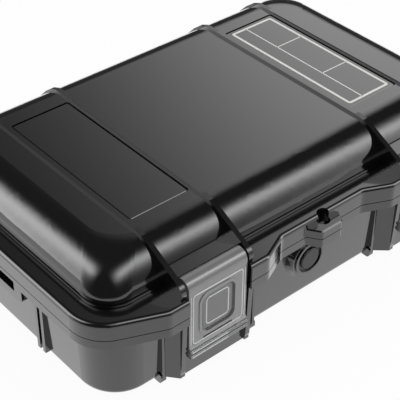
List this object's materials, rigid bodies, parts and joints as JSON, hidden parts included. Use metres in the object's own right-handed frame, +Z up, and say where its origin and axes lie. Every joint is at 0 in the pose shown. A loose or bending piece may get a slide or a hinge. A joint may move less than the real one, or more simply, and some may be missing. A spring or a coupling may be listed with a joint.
{
  "type": "waterproof hard case",
  "caption": "Small waterproof hard case with a domed hinged lid, over-centre front latches, padlock tab, strap loop and vent valve",
  "frame": {"origin": "middle of the overall box on the plane that the feet rest on", "axes": "+X along the case's front towards its right end, +Y from the latched front to the hinged back, +Z up"},
  "size_m": [0.2, 0.136, 0.054],
  "materials": {
    "case_black": "injection-moulded black plastic, semi-gloss",
    "valve_black": "moulded black plastic, satin",
    "latch_grey": "smoky translucent plastic, glossy",
    "latch_dark": "dark smoky plastic inlay, glossy",
    "liner_rubber": "soft moulded rubber, matt",
    "seal_rubber": "solid rubber cord seal, matt",
    "lid_foam": "closed-cell foam sheet, matt",
    "membrane": "thin porous membrane",
    "pin_steel": "plain drawn steel wire"
  },
  "bodies": {
    "base": {"base_shell": "case_black", "base_liner": "liner_rubber", "hinge_pin_left": "pin_steel", "hinge_pin_right": "pin_steel", "valve_body": "valve_black", "valve_ring": "valve_black", "valve_cap": "valve_black", "valve_membrane": "membrane", "valve_o_ring": "seal_rubber", "valve_nut": "valve_black"},
    "lid": {"lid_shell": "case_black", "lid_gasket": "seal_rubber", "lid_pad": "lid_foam", "panel_left": "case_black", "panel_right": "case_black", "latch_pin_left": "pin_steel", "latch_pin_right": "pin_steel"},
    "latch_left_body": {"latch_left": "latch_grey", "latch_window_left": "latch_dark"},
    "latch_right_body": {"latch_right": "latch_grey", "latch_window_right": "latch_dark"}
  },
  "joints": [
    {"name": "lid_hinge", "type": "hinge", "parent": "base", "child": "lid", "pos_m": [0, 0.0645, 0.032], "axis": [-1, 0, 0], "range_deg": [0, 115]},
    {"name": "latch_left_pivot", "type": "hinge", "parent": "lid", "child": "latch_left_body", "pos_m": [-0.05275, -0.0628, 0.0412], "axis": [-1, 0, 0], "range_deg": [0, 100]},
    {"name": "latch_right_pivot", "type": "hinge", "parent": "lid", "child": "latch_right_body", "pos_m": [0.05275, -0.0628, 0.0412], "axis": [-1, 0, 0], "range_deg": [0, 100]}
  ]
}
